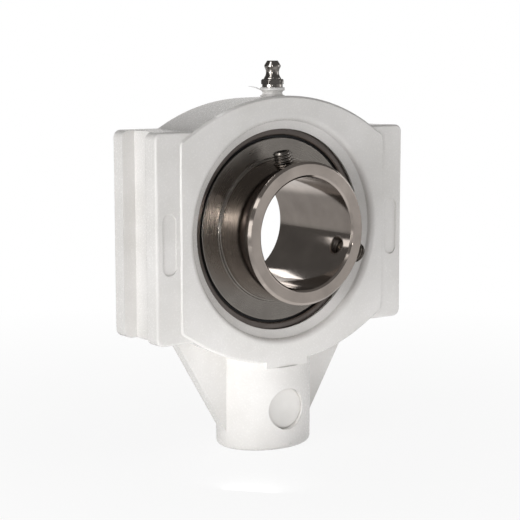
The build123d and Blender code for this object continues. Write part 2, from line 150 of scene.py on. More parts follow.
@dataclass(frozen=True)
class Finish:
    """What every finish has: a name, a colour and the values of its shader."""

    name: str
    colour: str
    roughness: float
    metallic: float = 0.0

    def made(self) -> bpy.types.Material:
        """Gives the finish's material, which is made once and shared."""
        return bpy.data.materials.get(self.name) or self.material()

    def material(self) -> bpy.types.Material:
        """Makes the material.

        Returns:
            A node material named for the finish.
        """
        made = bpy.data.materials.new(self.name)
        tree = blank_tree(made)
        shader = add_node(tree, "ShaderNodeBsdfPrincipled", {
            "Base Color": linear(self.colour), "Roughness": self.roughness, "Metallic": self.metallic})
        output = add_node(tree, "ShaderNodeOutputMaterial")
        tree.links.new(shader.outputs["BSDF"], output.inputs["Surface"])
        self.detail(tree, shader)
        made.diffuse_color = linear(self.colour)
        return made

    def detail(self, tree: bpy.types.NodeTree, shader: bpy.types.Node) -> None:
        """Adds the pattern that the making of the surface left; each finish has its own."""

    @staticmethod
    def place(tree: bpy.types.NodeTree, centre: Point = (0.0, 0.0, 0.0)) -> bpy.types.NodeSocket:
        """Gives the piece's own coordinates in millimetres.

        Args:
            tree: The node tree to add to.
            centre: The point, in metres, that becomes the pattern's origin.

        Returns:
            The socket that holds them.
        """
        coordinates = add_node(tree, "ShaderNodeTexCoord")
        centred = add_node(tree, "ShaderNodeVectorMath", {
            0: coordinates.outputs["Object"], 1: centre}, operation="SUBTRACT")
        return add_node(tree, "ShaderNodeVectorMath", {
            0: centred.outputs["Vector"], "Scale": 1000.0}, operation="SCALE").outputs["Vector"]

    def tint(
        self, tree: bpy.types.NodeTree, shader: bpy.types.Node, pattern: bpy.types.NodeSocket,
        colour: str, span: tuple[float, float] = (0.3, 0.7),
    ) -> None:
        """Lets a pattern shift the colour towards another.

        Args:
            tree: The node tree to add to.
            shader: The surface shader.
            pattern: The pattern.
            colour: The other colour, or nothing for no shift.
            span: The pattern's values for the first colour and for the other.
        """
        mixed = add_node(tree, "ShaderNodeMix", {
            "Factor": self.spread(tree, pattern, 0.0, 1.0, *span),
            "A": linear(self.colour), "B": linear(colour or self.colour)}, data_type="RGBA")
        tree.links.new(mixed.outputs["Result"], shader.inputs["Base Color"])

    @staticmethod
    def spread(
        tree: bpy.types.NodeTree, value: bpy.types.NodeSocket, low: float, high: float,
        start: float = 0.3, end: float = 0.7,
    ) -> bpy.types.NodeSocket:
        """Maps a pattern's usual span onto a span of values.

        Args:
            tree: The node tree to add to.
            value: The pattern.
            low: The value at start.
            high: The value at end.
            start: The pattern's own low end.
            end: The pattern's own high end.

        Returns:
            The socket that holds the mapped value.
        """
        return add_node(tree, "ShaderNodeMapRange", {
            "Value": value, "From Min": start, "From Max": end, "To Min": low, "To Max": high,
        }).outputs["Result"]


@dataclass(frozen=True)
class MouldedPlastic(Finish):
    """Thermoplastic moulded in a spark-eroded steel tool: a fine even satin grain, a faint cloudiness
    where the melt flowed, and a softened glint on each edge."""

    cloud_colour: str = "E9E7E4"
    cloud: float = 28.0  # length over which the melt's colour shifts
    cloud_span: tuple[float, float] = (0.35, 0.65)
    grain: float = 0.7  # real spark grain is about 0.05 mm; drawn coarser, so that it shows at all
    grain_depth: float = 0.0015
    gloss_spread: float = 0.03  # how far the grain moves the roughness either way
    ripple: float = 9.0  # the slight waviness that shrinking leaves
    ripple_depth: float = 0.05
    edge: float = 0.45  # radius to which the light softens an edge

    def detail(self, tree: bpy.types.NodeTree, shader: bpy.types.Node) -> None:
        """Adds clouds to the colour, the grain to bump and gloss, and the softened edges.

        Args:
            tree: The node tree to add to.
            shader: The surface shader.
        """
        place = self.place(tree)
        clouds = add_node(tree, "ShaderNodeTexNoise", {
            "Vector": place, "Scale": 1.0 / self.cloud, "Detail": 3.0, "Roughness": 0.55})
        self.tint(tree, shader, clouds.outputs["Fac"], self.cloud_colour, self.cloud_span)
        grain = add_node(tree, "ShaderNodeTexNoise", {
            "Vector": place, "Scale": 1.0 / self.grain, "Detail": 2.0, "Roughness": 0.6})
        ripple = add_node(tree, "ShaderNodeTexNoise", {
            "Vector": place, "Scale": 1.0 / self.ripple, "Detail": 1.0})
        low, high = self.roughness - self.gloss_spread, self.roughness + self.gloss_spread
        tree.links.new(self.spread(tree, grain.outputs["Fac"], low, high), shader.inputs["Roughness"])
        softened = add_node(tree, "ShaderNodeBevel", {"Radius": mm(self.edge)}, samples=4)
        waves = add_node(tree, "ShaderNodeBump", {
            "Height": ripple.outputs["Fac"], "Distance": mm(self.ripple_depth), "Strength": 1.0,
            "Normal": softened.outputs["Normal"]})
        pits = add_node(tree, "ShaderNodeBump", {
            "Height": grain.outputs["Fac"], "Distance": mm(self.grain_depth), "Strength": 1.0,
            "Normal": waves.outputs["Normal"]})
        tree.links.new(pits.outputs["Normal"], shader.inputs["Normal"])


@dataclass(frozen=True)
class TurnedSteel(Finish):
    """Steel ground or turned on a lathe: fine lines that run round its axis, so that light draws out
    across them, and a slight unevenness in gloss from handling and oil."""

    metallic: float = 1.0
    line: float = 0.45  # real grinding lines are about 0.02 mm apart; drawn as wide as a render shows
    line_depth: float = 0.0006
    line_gloss: float = 0.03  # how far the lines move the roughness either way
    edge: float = 0.3  # radius to which the light softens an edge
    smear: float = 11.0  # about the width of a finger's mark
    smear_gloss: tuple[float, float] = (-0.03, 0.04)  # how far the smears move the roughness
    anisotropy: float = 0.0  # how far light draws out across the lines, from 0 to 1
    axis: Axis = Axis.SHAFT
    centre: Point = (0.0, 0.0, 0.0)  # metres
    dark_colour: str = ""  # the smears; empty for the plain colour

    def detail(self, tree: bpy.types.NodeTree, shader: bpy.types.Node) -> None:
        """Adds the lines to bump and gloss, and the smears to colour and gloss.

        Args:
            tree: The node tree to add to.
            shader: The surface shader.
        """
        place = self.place(tree, self.centre)
        across = (1.0, 0.0, 1.0) if self.axis is Axis.SHAFT else (1.0, 1.0, 0.0)
        along = (0.0, 1.0, 0.0) if self.axis is Axis.SHAFT else (0.0, 0.0, 1.0)
        flat = add_node(tree, "ShaderNodeVectorMath", {0: place, 1: across}, operation="MULTIPLY")
        radius = add_node(tree, "ShaderNodeVectorMath", {0: flat.outputs["Vector"]}, operation="LENGTH")
        depth = add_node(tree, "ShaderNodeVectorMath", {0: place, 1: along}, operation="DOT_PRODUCT")
        turned = add_node(tree, "ShaderNodeCombineXYZ", {
            "X": radius.outputs["Value"], "Y": depth.outputs["Value"]})
        lines = add_node(tree, "ShaderNodeTexNoise", {
            "Vector": turned.outputs["Vector"], "Scale": 1.0 / self.line, "Detail": 3.0,
            "Roughness": 0.7})
        smears = add_node(tree, "ShaderNodeTexNoise", {
            "Vector": place, "Scale": 1.0 / self.smear, "Detail": 3.0})
        low, high = (self.roughness + change for change in self.smear_gloss)
        gloss = add_node(tree, "ShaderNodeMath", {
            0: self.spread(tree, lines.outputs["Fac"], -self.line_gloss, self.line_gloss),
            1: self.spread(tree, smears.outputs["Fac"], low, high)}, operation="ADD")
        tree.links.new(gloss.outputs["Value"], shader.inputs["Roughness"])
        self.tint(tree, shader, smears.outputs["Fac"], self.dark_colour)
        softened = add_node(tree, "ShaderNodeBevel", {"Radius": mm(self.edge)}, samples=4)
        grooves = add_node(tree, "ShaderNodeBump", {
            "Height": lines.outputs["Fac"], "Distance": mm(self.line_depth), "Strength": 1.0,
            "Normal": softened.outputs["Normal"]})
        tree.links.new(grooves.outputs["Normal"], shader.inputs["Normal"])
        if self.anisotropy:
            tangent = add_node(
                tree, "ShaderNodeTangent", direction_type="RADIAL", axis=self.axis.value)
            tree.links.new(tangent.outputs["Tangent"], shader.inputs["Tangent"])
            shader.inputs["Anisotropic"].default_value = self.anisotropy


@dataclass(frozen=True)
class GrainedFinish(Finish):
    """A surface with no direction: rubber, tumbled or plated steel, lapped balls, drawn wire. A fine
    grain breaks its gloss, and its colour shifts a little over larger patches."""

    patch_colour: str = ""  # empty for the plain colour
    patch: float = 6.0
    grain: float = 0.4  # real grain is under 0.1 mm; drawn coarser, so that it shows
    grain_depth: float = 0.004
    gloss_spread: float = 0.04  # how far the grain moves the roughness either way

    def detail(self, tree: bpy.types.NodeTree, shader: bpy.types.Node) -> None:
        """Adds the grain to bump and gloss, and the patches to colour.

        Args:
            tree: The node tree to add to.
            shader: The surface shader.
        """
        place = self.place(tree)
        grain = add_node(tree, "ShaderNodeTexNoise", {
            "Vector": place, "Scale": 1.0 / self.grain, "Detail": 2.0, "Roughness": 0.6})
        patches = add_node(tree, "ShaderNodeTexNoise", {
            "Vector": place, "Scale": 1.0 / self.patch, "Detail": 2.0})
        self.tint(tree, shader, patches.outputs["Fac"], self.patch_colour)
        low, high = self.roughness - self.gloss_spread, self.roughness + self.gloss_spread
        tree.links.new(self.spread(tree, grain.outputs["Fac"], low, high), shader.inputs["Roughness"])
        pits = add_node(tree, "ShaderNodeBump", {
            "Height": grain.outputs["Fac"], "Distance": mm(self.grain_depth), "Strength": 1.0})
        tree.links.new(pits.outputs["Normal"], shader.inputs["Normal"])


NIPPLE_OFFSET = -6.5  # the nipple's place along the shaft

# White thermoplastic polyester, moulded: satin and even, with a soft glint along its edges.
HOUSING_PLASTIC = MouldedPlastic("moulded_white_polyester", "F3F1EF", 0.26)
# The same plastic for the nut, a shade greyer and duller from its own small tool.
NUT_PLASTIC = MouldedPlastic("moulded_white_nut_polyester", "EFEDEA", 0.34, cloud=9.0)
# Stainless bearing steel, ground: a warm grey mirror broken by lines that run round it.
RING_STEEL = TurnedSteel("ground_stainless_ring_steel", "B7ADA5", 0.10, dark_colour="A59C95")
# The same steel, its end face left as turned: duller, and its colour painted darker than the rings' as
# shade for its place deep in the housing's mouth.
OUTER_RING_STEEL = TurnedSteel(
    "turned_stainless_outer_ring_steel", "716A66", 0.28, dark_colour="635D59")
# Stainless sheet, pressed and spun: duller than the rings, with light drawn into fans.
FLINGER_STEEL = TurnedSteel(
    "pressed_stainless_sheet", "8F8A84", 0.27, anisotropy=0.4, dark_colour="827D78", line=0.6,
    line_depth=0.0002)
# Stainless set screws with rolled threads: dark flanks and bright crests.
SCREW_STEEL = GrainedFinish(
    "rolled_stainless_screw_steel", "8A8580", 0.24, metallic=1.0, patch_colour="76716C", patch=2.5)
# The same steel as the rings, tapped: rougher, and its colour painted darker than the rings' as shade
# inside the hole.
HOLE_STEEL = GrainedFinish(
    "tapped_stainless_ring_steel", "9C948D", 0.28, metallic=1.0, patch_colour="8B847D", patch=2.0)
# Stainless nipple, turned from bar: dark between sharp upright glints.
NIPPLE_STEEL = TurnedSteel(
    "turned_stainless_nipple_steel", "9A9692", 0.16, axis=Axis.UPRIGHT,
    centre=(0.0, mm(NIPPLE_OFFSET), 0.0), dark_colour="86817C", line=0.3, line_depth=0.0002, smear=4.0)
# Lapped stainless balls: nearly a perfect mirror.
BALL_STEEL = GrainedFinish(
    "lapped_stainless_ball_steel", "C9C5C0", 0.07, metallic=1.0, patch_colour="C2BEB9",
    grain_depth=0.0003, gloss_spread=0.02)
# Drawn spring wire: bright along its length, with a dull skin.
SPRING_STEEL = GrainedFinish(
    "drawn_stainless_spring_wire", "A9A49E", 0.26, metallic=1.0, patch_colour="97928C", patch=1.5,
    grain=0.15, grain_depth=0.001)
# Nitrile rubber, moulded: near black and dull.
SEAL_RUBBER = GrainedFinish(
    "moulded_nitrile_rubber", "1B1B1C", 0.62, patch_colour="232223", grain=0.5, grain_depth=0.01)
# Glass-filled polyamide, moulded: cream, with a silky skin from the fibres.
CAGE_POLYAMIDE = GrainedFinish(
    "moulded_glass_filled_polyamide", "D9CFB8", 0.48, patch_colour="CDC2A8", grain=0.35,
    grain_depth=0.008)


@dataclass(frozen=True)
class Dressing:
    """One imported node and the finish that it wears."""

    node: str
    finish: Finish


@dataclass(frozen=True)
class Camera:
    """Where the unit is seen from, in millimetres and degrees."""

    place: Point = (-346.407, -473.682, 67.055)
    turn: Point = (82.1614, 0.055, -36.0645)
    lens: float = 99.353
    sensor: float = 36.0
    reach: tuple[float, float] = (0.01, 20.0)  # metres

    def build(self) -> None:
        """Makes the scene's camera."""
        data = bpy.data.cameras.new("view")
        data.lens, data.sensor_width = self.lens, self.sensor
        data.clip_start, data.clip_end = self.reach
        camera = bpy.data.objects.new("view", data)
        camera.location = mm_point(self.place)
        camera.rotation_euler = [math.radians(value) for value in self.turn]
        bpy.context.scene.collection.objects.link(camera)
        bpy.context.scene.camera = camera


@dataclass(frozen=True)
class Lamp:
    """One soft panel of light, aimed at the unit. Its lengths are in metres."""

    name: str
    direction: Point  # from the aim to the panel
    distance: float
    size: tuple[float, float]
    level: float  # how bright it alone makes a white card that faces it at the aim
    aim: Point = (0.0, 0.0, -0.015)
    diffuse: bool = True
    glossy: bool = True

    def build(self) -> None:
        """Makes the panel."""
        data = bpy.data.lights.new(self.name, "AREA")
        data.shape, data.size, data.size_y = "RECTANGLE", *self.size
        data.energy = self.level * (math.pi * self.distance) ** 2
        lamp = bpy.data.objects.new(self.name, data)
        back = Vector(self.direction).normalized()
        lamp.location = Vector(self.aim) + back * self.distance
        lamp.rotation_euler = back.to_track_quat("Z", "Y").to_euler()
        lamp.visible_camera = False
        lamp.visible_diffuse, lamp.visible_glossy = self.diffuse, self.glossy
        bpy.context.scene.collection.objects.link(lamp)


@dataclass(frozen=True)
class Pane:
    """A bright patch of the room that shows in gloss: the backdrop, or a window."""

    direction: Point
    inner: float  # degrees from its middle to where it starts to fade
    outer: float  # degrees from its middle to where it is gone
    level: float  # 1 is white

    def shape(
        self, tree: bpy.types.NodeTree, direction: bpy.types.NodeSocket,
    ) -> bpy.types.NodeSocket:
        """Makes the patch's outline.

        Args:
            tree: The node tree to add to.
            direction: The direction that is looked up.

        Returns:
            The socket that is 1 inside the patch and 0 outside it.
        """
        facing = add_node(tree, "ShaderNodeVectorMath", {
            0: direction, 1: Vector(self.direction).normalized()}, operation="DOT_PRODUCT")
        return Finish.spread(
            tree, facing.outputs["Value"], 0.0, 1.0, math.cos(math.radians(self.outer)),
            math.cos(math.radians(self.inner)))


@dataclass
class Studio:
    """A pale table in a dim room, with a white backdrop behind the unit."""

    camera: Camera = Camera()
    table_height: float = -90.0  # millimetres; the foot of the nose
    table_gap: float = 0.2  # millimetres between the nose and the table
    table_radius: float = 4.0
    table_sides: int = 96
    table_colour: str = "F4F4F4"
    painted_table_light: tuple[float, float] = (0.95, 0.24)  # painted light: how white the table shows in the metal, in the middle of its painted pool of light and far from it
    painted_light_centre: Point = (0.03, -0.09, 0.0)  # middle of the painted pool of light on the table, before the unit; it shows only in the metal
    painted_light_fade: tuple[float, float] = (0.08, 0.16)  # metres from there over which the painted light fades
    table_glow: float = 0.9  # share of plain white near the unit; the rest keeps its shadow
    table_fade: tuple[float, float] = (0.05, 0.35)  # metres from the unit over which it turns all white
    room_colour: str = "FFFDFB"
    front_room: float = 0.20  # how bright the room is before the unit
    rear_room: float = 0.12
    room_turn: float = 0.35  # Y of a direction, either way, over which the one fades into the other
    panes: tuple[Pane, ...] = (
        Pane((0.583, 0.801, -0.05), 26.0, 42.0, 1.0),  # the backdrop
        Pane((0.60, -0.78, -0.10), 18.0, 40.0, 0.50),  # a pale wall, before the unit on its right
    )
    lamps: tuple[Lamp, ...] = (
        Lamp("left_panel", (-0.98, -0.17, 0.05), 1.3, (0.7, 0.5), 0.40),
        Lamp("left_front_panel", (-0.84, -0.54, 0.06), 1.3, (0.4, 0.5), 0.07),
        Lamp("near_left_card", (-0.93, -0.37, 0.0), 0.35, (0.26, 0.11), 0.21,
             aim=(0.0, 0.0, -0.032), glossy=False),
        Lamp("right_front_card", (0.60, -0.80, -0.02), 1.6, (1.5, 1.1), 0.16, glossy=False),
        Lamp("right_card", (0.90, -0.40, 0.15), 1.5, (0.7, 0.7), 0.15),
        Lamp("rear_fill", (0.15, 0.98, 0.03), 1.5, (0.8, 0.6), 0.45, glossy=False),
        Lamp("table_bounce", (0.0, 0.0, -1.0), 0.0747, (0.9, 0.5), 12.2,
             aim=(0.05, -0.28, -0.015), glossy=False),
        Lamp("table_bounce_near", (0.0, 0.0, -1.0), 0.0747, (0.16, 0.10), 0.5,
             aim=(-0.02, -0.10, -0.015), glossy=False),
        Lamp("left_front_strip", (-0.57, -0.80, 0.19), 1.3, (0.12, 0.05), 0.08, diffuse=False),
        Lamp("high_left_strip", (-0.62, -0.55, 0.56), 1.5, (0.30, 0.30), 0.02, diffuse=False),
        Lamp("rear_left_pane", (-0.61, 0.77, 0.19), 0.12, (0.016, 0.016), 0.010,
             aim=(0.0218, -0.0288, -0.0056), diffuse=False),
        Lamp("rear_high_pane", (0.26, 0.79, 0.56), 0.10, (0.020, 0.012), 0.022,
             aim=(0.0098, 0.0003, -0.0203), diffuse=False),
        Lamp("nipple_strip", (-0.94, -0.33, 0.25), 0.03, (0.009, 0.05), 0.9,
             aim=(0.0, -0.0065, 0.0635), diffuse=False),
        Lamp("nose_card", (-0.75, -0.66, -0.05), 0.06, (0.02, 0.015), 0.13,
             aim=(-0.002, -0.016, -0.080), glossy=False),
    )

    def build(self) -> None:
        """Makes the camera, the world, the lamps and the table."""
        self.camera.build()
        self.world()
        for lamp in self.lamps:
            lamp.build()
        self.table()

    def world(self) -> None:
        """Makes the room: pale before the unit, dark behind it, and white where the backdrop hangs."""
        world = bpy.data.worlds.new("studio")
        bpy.context.scene.world = world
        tree = blank_tree(world)
        direction = add_node(tree, "ShaderNodeTexCoord").outputs["Generated"]
        depth = add_node(tree, "ShaderNodeSeparateXYZ", {0: direction}).outputs["Y"]
        strength = Finish.spread(
            tree, depth, self.front_room, self.rear_room, -self.room_turn, self.room_turn)
        seen, mirrored = self.rays(tree)
        shown = add_node(tree, "ShaderNodeMix", {
            "Factor": mirrored, "A": strength, "B": self.pane_light(tree, direction, strength)},
            data_type="FLOAT")
        room = add_node(tree, "ShaderNodeBackground", {
            "Color": linear(self.room_colour), "Strength": shown.outputs["Result"]})
        white = add_node(tree, "ShaderNodeBackground", {"Color": linear("FFFFFF"), "Strength": 1.0})
        both = add_node(tree, "ShaderNodeMixShader", {
            0: seen, 1: room.outputs["Background"], 2: white.outputs["Background"]})
        add_node(tree, "ShaderNodeOutputWorld", {"Surface": both.outputs["Shader"]})

    @staticmethod
    def rays(tree: bpy.types.NodeTree) -> tuple[bpy.types.NodeSocket, bpy.types.NodeSocket]:
        """Tells what the eye sees, and what a mirror or glass sends on, from all other light.

        Args:
            tree: The node tree to add to.

        Returns:
            The socket that is 1 for the eye, and the socket that is 1 for a mirror or glass.
        """
        path = add_node(tree, "ShaderNodeLightPath")
        mirrored = add_node(tree, "ShaderNodeMath", {
            0: path.outputs["Is Glossy Ray"], 1: path.outputs["Is Transmission Ray"]},
            operation="ADD", use_clamp=True)
        return path.outputs["Is Camera Ray"], mirrored.outputs["Value"]

    def pane_light(
        self, tree: bpy.types.NodeTree, direction: bpy.types.NodeSocket,
        least: bpy.types.NodeSocket | float,
    ) -> bpy.types.NodeSocket:
        """Works out how bright the panes are in a direction.

        Args:
            tree: The node tree to add to.
            direction: The direction that is looked up.
            least: The light that is there without the panes.

        Returns:
            The socket with the brightest of them all.
        """
        for pane in self.panes:
            glow = add_node(tree, "ShaderNodeMath", {
                0: pane.shape(tree, direction), 1: pane.level}, operation="MULTIPLY")
            least = add_node(tree, "ShaderNodeMath", {
                0: least, 1: glow.outputs["Value"]}, operation="MAXIMUM").outputs["Value"]
        return least

    def table(self) -> None:
        """Makes the table: white to the eye, with the unit's shadow left on it."""
        bpy.ops.mesh.primitive_circle_add(
            vertices=self.table_sides, radius=self.table_radius, fill_type="NGON",
            location=(0.0, 0.0, mm(self.table_height) - mm(self.table_gap)))
        table = bpy.context.object
        table.name = "table"
        table.data.materials.append(self.card())

    def card(self) -> bpy.types.Material:
        """Makes the table's white card, with a painted pool of light before the unit that shows only
        where the metal mirrors it.

        Returns:
            A node material.
        """
        card = bpy.data.materials.new("white_card")
        tree = blank_tree(card)
        place = add_node(tree, "ShaderNodeTexCoord").outputs["Object"]
        outwards = add_node(tree, "ShaderNodeVectorMath", {0: place}, operation="NORMALIZE")
        seen, mirrored = self.rays(tree)
        before = add_node(
            tree, "ShaderNodeVectorMath", {0: place, 1: self.painted_light_centre}, operation="SUBTRACT")
        apart = add_node(
            tree, "ShaderNodeVectorMath", {0: before.outputs["Vector"]}, operation="LENGTH")
        # painted light: a glow seen only in the metal, brightest before the unit and fading away from
        # there, in place of the lit table
        pool_of_painted_light = Finish.spread(
            tree, apart.outputs["Value"], *self.painted_table_light, *self.painted_light_fade)
        reflected = add_node(tree, "ShaderNodeMath", {
            0: mirrored, 1: self.pane_light(tree, outwards.outputs["Vector"], pool_of_painted_light)},
            operation="MULTIPLY")
        bright = add_node(tree, "ShaderNodeMath", {
            0: seen, 1: reflected.outputs["Value"]}, operation="ADD", use_clamp=True)
        distance = add_node(tree, "ShaderNodeVectorMath", {0: place}, operation="LENGTH")
        near = Finish.spread(
            tree, distance.outputs["Value"], self.table_glow, 1.0, *self.table_fade)
        share = add_node(tree, "ShaderNodeMath", {
            0: bright.outputs["Value"], 1: near}, operation="MULTIPLY")
        matt = add_node(tree, "ShaderNodeBsdfDiffuse", {"Color": linear(self.table_colour)})
        glow = add_node(tree, "ShaderNodeEmission", {"Color": linear("FFFFFF"), "Strength": 1.0})
        both = add_node(tree, "ShaderNodeMixShader", {
            0: share.outputs["Value"], 1: matt.outputs["BSDF"], 2: glow.outputs["Emission"]})
        add_node(tree, "ShaderNodeOutputMaterial", {"Surface": both.outputs["Shader"]})
        return card


class Part(Enum):
    """What is picked in edit mode."""

    VERTEX = "VERT"
    EDGE = "EDGE"
    FACE = "FACE"


class Join(Enum):
    """How one solid acts on another."""

    ADD = "UNION"
    CUT = "DIFFERENCE"
    KEEP = "INTERSECT"


class Bench:
    """A modelling bench: primitives, work in edit mode, and modifiers, on one piece at a time."""

    @staticmethod
    def clear() -> None:
        """Leaves edit mode and lets go of everything."""
        if bpy.context.mode != "OBJECT":
            bpy.ops.object.mode_set(mode="OBJECT")
        bpy.ops.object.select_all(action="DESELECT")

    @staticmethod
    def take(piece: bpy.types.Object) -> None:
        """Selects one piece and nothing else.

        Args:
            piece: The piece to work on.
        """
        Bench.clear()
        piece.select_set(True)
        bpy.context.view_layer.objects.active = piece

    @staticmethod
    @contextmanager
    def editing(piece: bpy.types.Object, everything: bool = False) -> Iterator[None]:
        """Opens a piece in edit mode and closes it again.

        Args:
            piece: The piece to work on.
            everything: Whether all of it starts selected, or none.

        Yields:
            Nothing; the piece is in edit mode meanwhile.
        """
        Bench.take(piece)
        bpy.ops.object.mode_set(mode="EDIT")
        bpy.ops.mesh.select_mode(type="VERT")
        bpy.ops.mesh.select_all(action="SELECT" if everything else "DESELECT")
        yield
        bpy.ops.object.mode_set(mode="OBJECT")

    @staticmethod
    def pick(piece: bpy.types.Object, part: Part, test: Callable[[object], bool]) -> None:
        """Selects, in edit mode, the parts that pass a test, and lets go of the rest.

        Args:
            piece: The piece in edit mode.
            part: Vertices, edges or faces.
            test: Says whether one of them is wanted, by its place.
        """
        bpy.ops.mesh.select_mode(type=part.value)
        bpy.ops.mesh.select_all(action="DESELECT")
        mesh = bmesh.from_edit_mesh(piece.data)
        for element in getattr(mesh, f"{part.value.lower()}s"):
            element.select_set(bool(test(element)))
        mesh.select_flush_mode()
        bmesh.update_edit_mesh(piece.data)

    @staticmethod
    def pick_rims(piece: bpy.types.Object, heights: Sequence[float]) -> None:
        """Selects, in edit mode, the edges that lie level at one of some heights in millimetres."""
        Bench.pick(piece, Part.EDGE, lambda edge: any(
            all(abs(end.co.z - mm(height)) < SAME for end in edge.verts) for height in heights))

    @staticmethod
    def pick_end(piece: bpy.types.Object, height: float) -> None:
        """Selects, in edit mode, the faces whose middle lies at a height in millimetres."""
        Bench.pick(piece, Part.FACE, lambda face: (
            abs(face.calc_center_median().z - mm(height)) < SAME))

    @staticmethod
    def name(label: str) -> bpy.types.Object:
        """Names the primitive that was just added.

        Args:
            label: Its name.

        Returns:
            The primitive.
        """
        piece = bpy.context.object
        piece.name = piece.data.name = label
        return piece

    @staticmethod
    def round_bar(
        label: str, radius: float, low: float, high: float, sides: int,
    ) -> bpy.types.Object:
        """Adds an upright bar.

        Args:
            label: Its name.
            radius: Its radius, to its corners.
            low: The height of its foot.
            high: The height of its top.
            sides: How many flats go round it.

        Returns:
            The bar.
        """
        Bench.clear()
        bpy.ops.mesh.primitive_cylinder_add(
            vertices=sides, radius=mm(radius), depth=mm(high - low), end_fill_type="NGON",
            location=(0.0, 0.0, mm((low + high) / 2)))
        bar = Bench.name(label)
        Bench.fix(bar)
        return bar

    @staticmethod
    def line(
        label: str, points: Sequence[tuple[float, float]], closed: bool = False,
    ) -> bpy.types.Object:
        """Draws a line of vertices in the upright plane, by extruding one vertex from point to point.

        Args:
            label: Its name.
            points: Radius and height of each vertex.
            closed: Whether the last one is joined to the first.

        Returns:
            The line.
        """
        places = [Vector((mm(radius), 0.0, mm(height))) for radius, height in points]
        Bench.clear()
        bpy.ops.mesh.primitive_plane_add(size=mm(0.1), location=(0.0, 0.0, 0.0))  # merged to a point
        drawn = Bench.name(label)
        with Bench.editing(drawn, everything=True):
            bpy.ops.mesh.merge(type="CENTER")
            bpy.ops.transform.translate(value=places[0])
            for here, there in zip(places, places[1:]):
                bpy.ops.mesh.extrude_region_move(TRANSFORM_OT_translate={"value": there - here})
            if closed:
                ends = (places[0], places[-1])
                Bench.pick(drawn, Part.VERTEX, lambda vertex: (
                    min((vertex.co - end).length for end in ends) < SAME))
                bpy.ops.mesh.edge_face_add()
        return drawn

    @staticmethod
    def modify(piece: bpy.types.Object, kind: str, **settings: object) -> None:
        """Adds a modifier and applies it.

        Args:
            piece: The piece it acts on.
            kind: Blender's name for the modifier's type.
            **settings: Properties of the modifier.
        """
        Bench.take(piece)
        modifier = piece.modifiers.new(kind.lower(), kind)
        for name, value in settings.items():
            setattr(modifier, name, value)
        bpy.ops.object.modifier_apply(modifier=modifier.name)

    @staticmethod
    def join(piece: bpy.types.Object, tool: bpy.types.Object, how: Join) -> None:
        """Adds, cuts or keeps what a tool solid covers, and throws the tool away.

        Args:
            piece: The piece that is changed.
            tool: The solid that changes it.
            how: What it does.
        """
        Bench.modify(piece, "BOOLEAN", operation=how.value, object=tool, solver="EXACT")
        bpy.data.objects.remove(tool)

    @staticmethod
    def fix(piece: bpy.types.Object) -> None:
        """Puts a piece's place, turn and size into its mesh."""
        Bench.take(piece)
        bpy.ops.object.transform_apply(location=True, rotation=True, scale=True)

    @staticmethod
    def put(piece: bpy.types.Object, matrix: Matrix) -> None:
        """Moves a piece and puts its new place into its mesh."""
        piece.matrix_world = matrix
        Bench.fix(piece)

    @staticmethod
    def stand(piece: bpy.types.Object, foot: Vector, direction: Vector) -> None:
        """Moves an upright piece to a point in metres and turns its top to a direction."""
        turn = direction.to_track_quat("Z", "Y").to_matrix().to_4x4()
        Bench.put(piece, Matrix.Translation(foot) @ turn)

    @staticmethod
    def close(piece: bpy.types.Object) -> None:
        """Welds a mesh, closes its open ends and turns its faces outwards.

        Args:
            piece: The piece to close.
        """
        with Bench.editing(piece, everything=True):
            bpy.ops.mesh.remove_doubles(threshold=SAME)
            bpy.ops.mesh.fill_holes(sides=0)
            bpy.ops.mesh.select_all(action="SELECT")
            bpy.ops.mesh.normals_make_consistent(inside=False)

    @staticmethod
    def smooth(piece: bpy.types.Object, angle: float = 32.0) -> None:
        """Shades a piece smooth where its faces meet at less than an angle in degrees."""
        Bench.take(piece)
        bpy.ops.object.shade_smooth_by_angle(angle=math.radians(angle))

    @staticmethod
    def dress(piece: bpy.types.Object, finish: Finish, body: str, slot: str) -> None:
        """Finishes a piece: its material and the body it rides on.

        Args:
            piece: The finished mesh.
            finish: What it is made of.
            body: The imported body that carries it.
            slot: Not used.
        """
        piece.data.materials.clear()
        piece.data.materials.append(finish.made())
        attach(piece, body)
        log.info("%s rides on %s with %d faces", piece.name, body, len(piece.data.polygons))


